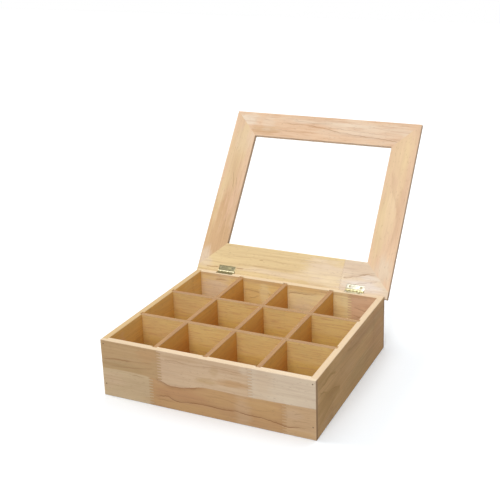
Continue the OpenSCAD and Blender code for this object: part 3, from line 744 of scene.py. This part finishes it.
def make_deep_shade_or_tint():
    """Painted shade that grows from one level down to another, on a board's inner face only if it has one;
    at every level, a tint over a whole face.
    """
    wires, given = new_group("Deep Shade Or Tint", {
        "Color": PALE_WOOD, "Board": ORIGIN, "Tint": PALE_WOOD, "From": 0.02, "Full": 0.0,
        "Inner Side": 0.0, "Inner Face": -1.0,
    }, {"Color": "Color"})
    _, across, through = wires.split(given["Board"])
    ragged = wires.noise(given["Board"], (16.0, 90.0, 90.0), detail=3.0)
    level = across + wires.vary(ragged, -0.004, 0.004)
    inner = through * given["Inner Side"] > given["Inner Face"]
    share = wires.ramp_down(level, given["Full"], given["From"]) * inner
    wires.result({"Color": wires.mix_colour(share, given["Color"], given["Tint"], "MULTIPLY")})


def make_wood_figure():
    """Growth lines, streaks, fibres and pores of one stave, all drawn out along the grain."""
    wires, given = new_group("Wood Figure", FIGURE_INPUTS, {
        name: "Float" for name in ("Rings", "Veins", "Streaks", "Fibres", "Pores", "Clouds")})
    along, across, through = wires.split(given["Board"])
    chance = wires.split(given["Stave"])
    place = wires.vector("MULTIPLY_ADD", given["Stave"], (3.1, 1.7, 0.9), given["Board"])
    # The rings are cut from a trunk whose heart lies off the stave, at a slight lean to it.
    heart_height = across + wires.spread(chance[0], 0.0, 1.0, -0.03, 0.03)
    lean = wires.spread(chance[2], 0.0, 1.0, -0.16, 0.16)
    heart_depth = along * lean + wires.spread(chance[1], 0.0, 1.0, 0.012, 0.045) + through
    drift = wires.vector("SUBTRACT", wires.noise(place, (6.0, 13.0, 13.0), out="Color"), (0.5, 0.5, 0.5))
    drift = wires.node("ShaderNodeVectorMath", {0: drift, "Scale": given["Wander"]}, operation="SCALE")
    from_heart = wires.vector("ADD", wires.join(0.0, heart_height, heart_depth), drift[0])

    def growth(scale, distortion, detail, detail_scale, profile):
        return wires.node("ShaderNodeTexWave", {
            "Vector": from_heart, "Scale": scale / given["Ring Spacing"], "Distortion": distortion,
            "Detail": detail, "Detail Scale": detail_scale},
            wave_type="RINGS", rings_direction="X", wave_profile=profile)["Fac"]

    per_height = 1.0 / given["Streak Height"]
    streak_cells = wires.join(1.0 / given["Streak Length"], per_height, per_height)
    patchy = wires.spread(wires.noise(place, (14.0, 40.0, 40.0), detail=1.0), 0.38, 0.66, 0.15, 1.0)
    pore_place = wires.vector("MULTIPLY", place, (90.0, 760.0, 760.0))
    pores = wires.node("ShaderNodeTexVoronoi", {"Vector": pore_place, "Scale": 1.0})
    kept = wires.split(pores["Color"])[0] > 0.45
    wires.result({
        "Rings": growth(RING_SCALE, 0.7, 2.0, 0.6, "SAW") ** 2.5 * patchy,
        "Veins": growth(VEIN_SCALE, 2.2, 3.0, 2.5, "SIN") ** 14.0,
        "Streaks": wires.noise(place, streak_cells, detail=3.0, roughness=0.6),
        "Fibres": wires.noise(place, (45.0, 2100.0, 2100.0)),
        "Pores": wires.ramp_down(pores["Distance"], 0.1, 0.24) * kept,
        "Clouds": wires.noise(place, (9.0, 30.0, 30.0))})


def make_board_edges():
    """Where a board's edges are rubbed, where its end grain shows, and where its sawn edge or the painted
    shade on a lid rail's edge is.
    """
    wires, given = new_group("Board Edges", EDGE_INPUTS, {
        name: "Float" for name in ("Wear", "End Grain", "Sawn Or Shaded Edge")})
    inside = wires.vector("SUBTRACT", given["Half Size"], wires.vector("ABSOLUTE", given["Board"]))
    from_end, from_edge, from_face = wires.split(inside)
    nearer = wires.math("MINIMUM", from_end, from_edge)
    farther = wires.math("MAXIMUM", from_end, from_edge)
    from_arris = wires.math("MAXIMUM", nearer, wires.math("MINIMUM", farther, from_face))
    patches = wires.noise(given["Board"], (55.0, 260.0, 260.0), detail=3.0)
    towards_edge = wires.split(given["Board"])[1] * given["Edge Side"]
    wires.result({
        "Wear": wires.ramp_down(from_arris, 0.0, given["Wear Width"] * wires.vary(patches, 0.35, 1.3)),
        "End Grain": wires.ramp_down(from_end, *FACE_FADE),
        "Sawn Or Shaded Edge": wires.ramp_down(wires.split(given["Half Size"])[1] - towards_edge, *FACE_FADE)})


def make_rubberwood():
    """Colour, roughness and relief of one board, from the colour of its staves."""
    wires, given = new_group("Rubberwood", {
        "Color": PALE_WOOD, **FIGURE_INPUTS, **EDGE_INPUTS, "Seam": 0.0, "Ring Strength": 0.25,
        "Vein Strength": 0.3, "Streak Strength": 0.4, "Sawn Or Shaded Edge": 0.0, "Pale": PALE_WOOD,
        "Late Wood": DARK_WOOD, "Vein": DARK_WOOD, "Pore": DARK_WOOD, "End Grain": DARK_WOOD,
        "Edge Colour": DARK_WOOD,
    }, FINISH_OUTPUTS)
    figure = wires.group("Wood Figure", given)
    edges = wires.group("Board Edges", given)
    cloud = wires.spread(figure["Clouds"], 0.25, 0.75, 0.93, 1.05)
    level = cloud * wires.vary(figure["Fibres"], 0.95, 1.04)
    redder = level ** 1.25  # dark places lose more green and blue than red
    colour = wires.mix_colour(1.0, given["Color"], wires.join(level, redder, redder), "MULTIPLY")
    dark_streaks = wires.spread(figure["Streaks"], 0.5, 0.78, 0.0, 1.0)
    pale_streaks = wires.spread(figure["Streaks"], 0.25, 0.45, 0.14, 0.0)
    # On the lid rails, this edge colour is painted shade.
    sawn = edges["Sawn Or Shaded Edge"] * given["Sawn Or Shaded Edge"] * wires.vary(figure["Streaks"], 0.8, 1.0)
    for share, tint in (
            (figure["Rings"] * given["Ring Strength"], "Late Wood"),
            (figure["Veins"] * given["Vein Strength"], "Vein"),
            (dark_streaks * given["Streak Strength"], "Late Wood"),
            (pale_streaks, "Pale"),
            (figure["Pores"] * 0.4, "Pore"),
            (given["Seam"] * 0.45, "Late Wood"),
            (edges["Wear"] * 0.35, "Pale"),
            (edges["End Grain"] * 0.85, "End Grain"),
            (sawn, "Edge Colour")):
        colour = wires.mix_colour(share, colour, given[tint])
    rough = figure["Pores"] * 0.2 + wires.vary(figure["Streaks"], 0.6, 0.74)
    height = figure["Fibres"] * 0.35 - figure["Streaks"] * 0.5 - figure["Pores"] * 0.9
    wires.result({
        "Color": colour,
        "Roughness": rough - edges["Wear"] * 0.08 + edges["End Grain"] * 0.15,
        "Height": height - given["Seam"] * 0.7})


def make_handled_metal():
    """Plating with dulled patches, polish lines and small dents, brighter round the hinge's pin with polish
    and a painted highlight, and painted shade in the crease beside it.
    """
    wires, given = new_group("Handled Metal", {
        "Vector": ORIGIN, "Clean": (0.8, 0.62, 0.27, 1.0), "Dulled": (0.3, 0.27, 0.17, 1.0),
        "Amount": 0.4, "Barrel": (0.9, 0.8, 0.5, 1.0), "Crease Shade": (0.4, 0.38, 0.32, 1.0),
        "Pin": ORIGIN, "Barrel Radius": 0.0,
    }, FINISH_OUTPUTS)
    _, y, z = wires.split(wires.vector("SUBTRACT", given["Vector"], given["Pin"]))
    off_barrel = wires.hypotenuse(y, z) - given["Barrel Radius"]
    # Brighter knuckles: partly polish, partly a painted highlight.
    barrel = wires.ramp_down(off_barrel, 0.0, BARREL_SHOULDER)
    # Painted shade in the crease between a leaf and its knuckles.
    crease_shade = wires.ramp_down(abs(off_barrel - CREASE_SHADE_LINE[1]), *CREASE_SHADE_LINE)
    dents = wires.noise(given["Vector"], detail=5.0, roughness=0.65, scale=1300.0)
    lines = wires.noise(given["Vector"], (300.0, 9000.0, 9000.0))
    # The more of the metal is dulled, the lower the level of noise from which it shows as dulled.
    level = wires.spread(given["Amount"], 0.0, 1.0, 0.75, 0.25)
    dulled = wires.ramp_up(dents, level - 0.16, level + 0.16)
    colour = wires.mix_colour(dulled, given["Clean"], given["Dulled"])
    colour = wires.mix_colour(barrel, colour, given["Barrel"])
    colour = wires.mix_colour(crease_shade * 0.8, colour, given["Crease Shade"], "MULTIPLY")
    grey = wires.vary(lines, 0.88, 1.08)
    wires.result({
        "Color": wires.mix_colour(1.0, colour, wires.join(grey, grey, grey), "MULTIPLY"),
        "Roughness": dulled * 0.22 + wires.vary(lines, 0.22, 0.36),
        "Height": dents * 0.6 + lines * 0.2})


def make_shared_effects():
    for make in (
            make_finger_joints, make_vein_line, make_blush, make_deep_shade_or_tint, make_wood_figure,
            make_board_edges, make_rubberwood, make_handled_metal):
        make()


# ---------- Materials ----------

def emptied(owner):
    """Wiring for the emptied node tree of a new material or world."""
    owner.use_nodes = True
    owner.node_tree.nodes.clear()
    return Wiring(owner.node_tree)


def object_place(wires):
    return wires.node("ShaderNodeTexCoord")["Object"]


def finish_surface(wires, made, relief, extra):
    """A Principled surface with an effect's colour, roughness and height."""
    bump = wires.node("ShaderNodeBump", {"Height": made["Height"], "Distance": relief, "Strength": 1.0})
    shader = wires.node("ShaderNodeBsdfPrincipled", {
        "Base Color": made["Color"], "Roughness": made["Roughness"], "Normal": bump[0], **extra})
    wires.result({"Surface": shader[0]}, "ShaderNodeOutputMaterial")


def lid_closing():
    """The move that takes the lid from rest, which is open, to closed."""
    pin = Vector(lid_joint["pos_m"])
    turn = Matrix.Rotation(math.radians(lid_joint["range_deg"][1]), 4, Vector(lid_joint["axis"]))
    return Matrix.Translation(pin) @ turn @ Matrix.Translation(-pin)


def board_place(wires, node, axes):
    """The board's own coordinates on a node's surface, and half its size along them."""
    straighten = lid_closing() if node.startswith("lid_") else Matrix.Identity(4)
    points = [straighten @ v.co for v in packed_nodes[node].data.vertices]
    low = Vector(min(p[i] for p in points) for i in range(3))
    high = Vector(max(p[i] for p in points) for i in range(3))
    move = axes.to_4x4() @ Matrix.Translation(-(low + high) / 2) @ straighten
    half = Vector(abs(v) for v in axes @ ((high - low) / 2))
    mapping = wires.node("ShaderNodeMapping", {
        "Vector": object_place(wires), "Location": move.to_translation(),
        "Rotation": move.to_euler("XYZ")})
    return mapping[0], half


def course(wires, along, points, half):
    """At each place along the board, the place across it of a line through the points, in metres."""
    spots = [(0.5 + x * MM / half.x / 2, 0.5 + y * MM / half.y / 2) for x, y in points]
    made = wires.node("ShaderNodeFloatCurve", {1: wires.spread(along, -half.x, half.x, 0.0, 1.0)})
    mapping = made.node.mapping
    curve = mapping.curves[0]
    curve.points[0].location, curve.points[1].location = spots[0], spots[-1]
    for x, y in spots[1:-1]:
        curve.points.new(x, y)
    mapping.extend = "HORIZONTAL"
    mapping.update()
    return wires.spread(made[0], 0.0, 1.0, -half.y, half.y)


def rubberwood_material(wood, node):
    """The material of one board, from how BOARDS says that it looks."""
    board = SimpleNamespace(**{**PLAIN_BOARD, **BOARDS[node]})
    material = bpy.data.materials.new("Rubberwood " + node)
    wires = emptied(material)
    place, half = board_place(wires, node, board.axes)
    along = wires.split(place)[0]

    def dye(name):
        return rgba(getattr(wood, name))

    def across_at(line):
        return course(wires, along, line, half) if isinstance(line, tuple) else line * MM

    staves = {
        row + " " + stave: dye(name)
        for row, names in zip(ROWS, (board.upper, board.lower or board.upper))
        for stave, name in zip(STAVES, names * len(STAVES))}
    joints = wires.group("Finger Joints", {
        "Board": place, "Split": across_at(board.split), "Seed": board.seed,
        "Upper Joints": (*(joint * MM for joint in board.upper_joints), 0.0),
        "Lower Joints": (*(joint * MM for joint in board.lower_joints), 0.0),
        "Finger Length": wood.finger_length * board.fingers, "Finger Pitch": wood.finger_pitch, **staves})
    colour = joints["Color"]
    for i, patch in enumerate(board.patches):
        colour = wires.group("Blush", dict(
            patch, Color=colour, Board=place, Tint=dye(patch["Tint"]),
            Seed=board.seed + PATCH_SEED_STEP * i))["Color"]
    for i, line in enumerate(board.lines):
        colour = wires.group("Vein Line", dict(
            line, Color=colour, Board=place, Course=across_at(line["Course"]), Line=dye(line["Line"]),
            Seed=board.seed + LINE_SEED_STEP * i))["Color"]
    # Painted shade deep in the box on the inner face, then the tint of the other face.
    for tint, (start, full), side in (
            (board.depth, board.depth_levels, board.inner_side),
            (board.outer, EVERY_LEVEL, -board.inner_side)):
        if tint:
            colour = wires.group("Deep Shade Or Tint", {
                "Color": colour, "Board": place, "Tint": dye(tint), "From": start * MM, "Full": full * MM,
                "Inner Side": side, "Inner Face": half.z - FACE_SKIN if side else -1.0})["Color"]
    made = wires.group("Rubberwood", {
        "Color": colour, "Board": place, "Stave": joints["Stave"], "Seam": joints["Seam"],
        "Half Size": half, "Ring Spacing": wood.ring_spacing * board.spacing, "Wander": board.wander,
        "Streak Length": board.streak_length, "Streak Height": board.streak_height,
        "Ring Strength": board.rings, "Vein Strength": board.veins, "Streak Strength": board.streaks,
        "Wear Width": wood.wear_width, "Sawn Or Shaded Edge": board.sawn_edge, "Edge Side": board.edge_side,
        "Pale": dye(board.worn), "Late Wood": dye(board.grain), "Vein": dye("vein"), "Pore": dye("pore"),
        "End Grain": dye("end_grain"), "Edge Colour": dye(board.edge)})
    finish_surface(wires, made, wood.relief, {"Specular IOR Level": wood.sheen})
    return material


def metal_material(name, brass, clean, dulled, amount, barrel=(1.0, 1.0, 1.0), barrel_radius=NO_BARREL):
    material = bpy.data.materials.new(name)
    wires = emptied(material)
    made = wires.group("Handled Metal", {
        "Vector": object_place(wires), "Clean": rgba(clean), "Dulled": rgba(dulled), "Amount": amount,
        "Barrel": rgba(barrel), "Crease Shade": rgba(brass.crease_shade), "Pin": lid_joint["pos_m"],
        "Barrel Radius": barrel_radius})
    finish_surface(wires, made, brass.relief, {"Metallic": 1.0})
    return material


def pane_material(window):
    """Clear pane with faint smudges. Lamps shine straight through it."""
    material = bpy.data.materials.new("Window Pane")
    wires = emptied(material)
    place = object_place(wires)
    smudges = wires.spread(wires.noise(place, detail=4.0, roughness=0.6, scale=28.0), 0.45, 0.75, 0.0, 0.05)
    dust = wires.spread(wires.noise(place, scale=1400.0), 0.62, 0.8, 0.0, 0.08)
    pane = wires.node("ShaderNodeBsdfPrincipled", {
        "Base Color": rgba(window.tint), "Roughness": smudges + dust, "Transmission Weight": 1.0,
        "IOR": window.refraction})
    clear = wires.node("ShaderNodeBsdfTransparent")
    from_lamp = wires.node("ShaderNodeLightPath")["Is Shadow Ray"]
    mixed = wires.node("ShaderNodeMixShader", {0: from_lamp, 1: pane[0], 2: clear[0]})
    wires.result({"Surface": mixed[0]}, "ShaderNodeOutputMaterial")
    return material


# ---------- Pieces ----------

def finish(node, material):
    obj = packed_nodes[node]
    if obj.material_slots:
        for slot in obj.material_slots:
            slot.material = material
    else:
        obj.data.materials.append(material)


def finish_boards(context, nodes):
    for node in nodes:
        finish(node, rubberwood_material(context.scene.tea_box_wood, node))


def add_object(name, mesh):
    """A new object at the origin, from a bmesh that it uses up."""
    data = bpy.data.meshes.new(name)
    mesh.to_mesh(data)
    mesh.free()
    obj = bpy.data.objects.new(name, data)
    bpy.context.scene.collection.objects.link(obj)
    return obj


def eased_leaf(node, body, material, ease):
    """A hinge leaf with a fine bevel round its edges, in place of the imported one."""
    mesh = bmesh.new()
    mesh.from_mesh(packed_nodes[node].data)
    bmesh.ops.remove_doubles(mesh, verts=mesh.verts, dist=JOIN_DISTANCE)
    bmesh.ops.dissolve_limit(
        mesh, angle_limit=FLAT_ANGLE, verts=mesh.verts, edges=mesh.edges, delimit={"NORMAL"})
    sharp = [e for e in mesh.edges if len(e.link_faces) == 2 and e.calc_face_angle() > EDGE_ANGLE]
    bmesh.ops.bevel(
        mesh, geom=sharp, offset=ease, offset_type="OFFSET", affect="EDGES", segments=2,
        profile=0.5, material=-1, clamp_overlap=True)
    leaf = add_object(node + "_eased", mesh)
    leaf.data.materials.append(material)
    leaf.data.shade_smooth()
    leaf.data.set_sharp_from_angle(angle=CREASE_ANGLE)
    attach(leaf, body)
    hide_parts(node)


class TEABOX_OT_walls(bpy.types.Operator):
    """Finish the four walls in finger-jointed rubberwood, with painted shade low on their inner faces"""
    bl_idname = "tea_box.walls"
    bl_label = "Walls"

    def execute(self, context):
        finish_boards(context, PANELS)
        return {"FINISHED"}


class TEABOX_OT_dividers(bpy.types.Operator):
    """Finish the five dividers in plain veneer with sawn upper edges and painted shade deep in the box"""
    bl_idname = "tea_box.dividers"
    bl_label = "Dividers"

    def execute(self, context):
        finish_boards(context, COLUMN_DIVIDERS + ROW_DIVIDERS)
        return {"FINISHED"}


class TEABOX_OT_bottom(bpy.types.Operator):
    """Finish the bottom panel in plain veneer"""
    bl_idname = "tea_box.bottom"
    bl_label = "Bottom"

    def execute(self, context):
        finish_boards(context, ("bottom_panel",))
        return {"FINISHED"}


class TEABOX_OT_lid_frame(bpy.types.Operator):
    """Finish the mitred lid rails, with painted shade on their edges that face right, and the tongues inside
    their corners
    """
    bl_idname = "tea_box.lid_frame"
    bl_label = "Lid Frame"

    def execute(self, context):
        finish_boards(context, LID_BOARDS)
        return {"FINISHED"}


class TEABOX_OT_window(bpy.types.Operator):
    """Finish the clear pane in the lid"""
    bl_idname = "tea_box.window"
    bl_label = "Window"

    def execute(self, context):
        finish("lid_window", pane_material(context.scene.tea_box_window))
        return {"FINISHED"}


class TEABOX_OT_hinges(bpy.types.Operator):
    """Ease the hinge leaves and finish the hinges in worn brass, painted darker as shade on the left and
    paler as highlight on the right
    """
    bl_idname = "tea_box.hinges"
    bl_label = "Hinges"

    def execute(self, context):
        brass = context.scene.tea_box_brass
        for side in ("left", "right"):
            # Each side's colours are its own copy of the brass: painted shade on the left, painted highlight
            # on the right.
            clean, dulled, barrel, screw = (
                getattr(brass, side + part) for part in ("_clean", "_dulled", "_barrel", "_screw"))
            plating = metal_material(
                "Brass " + side + " hinge", brass, clean, dulled, brass.tarnished, barrel,
                brass.barrel_radius)
            heads = metal_material(
                "Brass " + side + " screws", brass, screw, brass.screw_dulled, brass.tarnished)
            finish(side + "_hinge_pin", plating)
            for body in ("box", "lid"):
                leaf = side + "_hinge_" + body + "_leaf"
                finish(leaf, plating)
                eased_leaf(leaf, body, plating, brass.leaf_ease)
                finish(side + "_hinge_" + body + "_screws", heads)
        return {"FINISHED"}


class TEABOX_OT_brads(bpy.types.Operator):
    """Finish the brads in dull steel"""
    bl_idname = "tea_box.brads"
    bl_label = "Brads"

    def execute(self, context):
        brass = context.scene.tea_box_brass
        steel = metal_material("Brad steel", brass, brass.steel, brass.steel_dulled, brass.steel_tarnished)
        for node in BRADS:
            finish(node, steel)
        return {"FINISHED"}


class TEABOX_OT_studio(bpy.types.Operator):
    """Set up the pale floor, the soft light and the camera"""
    bl_idname = "tea_box.studio"
    bl_label = "Studio"

    def execute(self, context):
        studio = context.scene.tea_box_studio
        self.floor(studio)
        self.backdrop(context, studio)
        self.lamps(context, studio)
        self.camera(context, studio)
        return {"FINISHED"}

    def seen(self, wires):
        """1 for rays from the camera and for what metal and glass show of the background."""
        path = wires.node("ShaderNodeLightPath")
        straight = wires.math("MAXIMUM", path["Is Camera Ray"], path["Is Glossy Ray"])
        return wires.math("MAXIMUM", straight, path["Is Transmission Ray"])

    def floor(self, studio):
        mesh = bmesh.new()
        bmesh.ops.create_grid(mesh, x_segments=8, y_segments=8, size=studio.floor_size / 2)
        obj = add_object("studio_floor", mesh)
        material = bpy.data.materials.new("Studio floor")
        wires = emptied(material)
        shown = wires.node("ShaderNodeBsdfDiffuse", {"Color": rgba(studio.floor_white)})
        lift = wires.node("ShaderNodeEmission", {"Color": rgba(studio.floor_lift), "Strength": 1.0})
        lifted = wires.node("ShaderNodeAddShader", {0: shown[0], 1: lift[0]})
        plain = wires.node("ShaderNodeBsdfDiffuse", {"Color": rgba((studio.floor_bounce,) * 3)})
        mixed = wires.node("ShaderNodeMixShader", {0: self.seen(wires), 1: plain[0], 2: lifted[0]})
        wires.result({"Surface": mixed[0]}, "ShaderNodeOutputMaterial")
        obj.data.materials.append(material)

    def backdrop(self, context, studio):
        """A world that looks white, and lights the box at a level of its own."""
        world = bpy.data.worlds.new("Studio")
        wires = emptied(world)
        soft, white = (
            wires.node("ShaderNodeBackground", {"Color": rgba((1.0, 1.0, 1.0)), "Strength": level})
            for level in (studio.ambient, 1.0))
        mixed = wires.node("ShaderNodeMixShader", {0: self.seen(wires), 1: soft[0], 2: white[0]})
        wires.result({"Surface": mixed[0]}, "ShaderNodeOutputWorld")
        context.scene.world = world

    def lamps(self, context, studio):
        """Far lamps, each placed by its angle round from the front and its angle above the floor."""
        for name, round_from_front, up, level, width in (
                ("top_lamp", 0.0, 89.9, studio.top_level, studio.wide),
                ("front_lamp", 0.0, 35.0, studio.front_level, studio.narrow),
                ("left_lamp", -90.0, 40.0, studio.left_level, studio.narrow),
                ("rear_lamp", 180.0, 50.0, studio.rear_level, studio.wide)):
            azimuth, height = math.radians(round_from_front), math.radians(up)
            side = Vector((
                math.sin(azimuth) * math.cos(height), -math.cos(azimuth) * math.cos(height),
                math.sin(height)))
            lamp = bpy.data.lights.new(name, "SUN")
            lamp.angle = width
            lamp.energy = level
            obj = bpy.data.objects.new(name, lamp)
            obj.location = side * LAMP_DISTANCE
            obj.rotation_euler = side.to_track_quat("Z", "Y").to_euler()
            context.scene.collection.objects.link(obj)

    def camera(self, context, studio):
        data = bpy.data.cameras.new("camera")
        data.sensor_width = SENSOR_WIDTH
        data.lens = studio.focal_length
        data.shift_x = CAMERA_SHIFT
        data.shift_y = CAMERA_SHIFT
        data.clip_start, data.clip_end = CAMERA_REACH
        camera = bpy.data.objects.new("camera", data)
        turn = Euler([math.radians(angle) for angle in CAMERA_TURN]).to_matrix().to_4x4()
        camera.matrix_world = Matrix.Translation(CAMERA_PLACE) @ turn
        context.scene.collection.objects.link(camera)
        context.scene.camera = camera
        context.scene.view_settings.view_transform = "Standard"


class TEABOX_PT_panel(bpy.types.Panel):
    """Steps and settings of the tea bag organizer box"""
    bl_idname = "TEABOX_PT_panel"
    bl_label = "Tea Box"
    bl_space_type = "VIEW_3D"
    bl_region_type = "UI"
    bl_category = "Tea Box"

    def draw(self, context):
        for operator in OPERATORS:
            self.layout.operator(operator.bl_idname)
        for name, settings in SETTINGS.items():
            box = self.layout.box()
            for key in settings.__annotations__:
                box.prop(getattr(context.scene, name), key)


OPERATORS = (
    TEABOX_OT_walls, TEABOX_OT_dividers, TEABOX_OT_bottom, TEABOX_OT_lid_frame, TEABOX_OT_window,
    TEABOX_OT_hinges, TEABOX_OT_brads, TEABOX_OT_studio,
)
CLASSES = tuple(SETTINGS.values()) + OPERATORS + (TEABOX_PT_panel,)


def register():
    for cls in CLASSES:
        bpy.utils.register_class(cls)
    for name, settings in SETTINGS.items():
        setattr(bpy.types.Scene, name, PointerProperty(type=settings))


def unregister():
    for name in SETTINGS:
        delattr(bpy.types.Scene, name)
    for cls in reversed(CLASSES):
        bpy.utils.unregister_class(cls)


def main():
    register()
    make_shared_effects()
    bpy.ops.tea_box.walls()
    bpy.ops.tea_box.dividers()
    bpy.ops.tea_box.bottom()
    bpy.ops.tea_box.lid_frame()
    bpy.ops.tea_box.window()
    bpy.ops.tea_box.hinges()
    bpy.ops.tea_box.brads()
    bpy.ops.tea_box.studio()


if __name__ == "__main__":
    main()
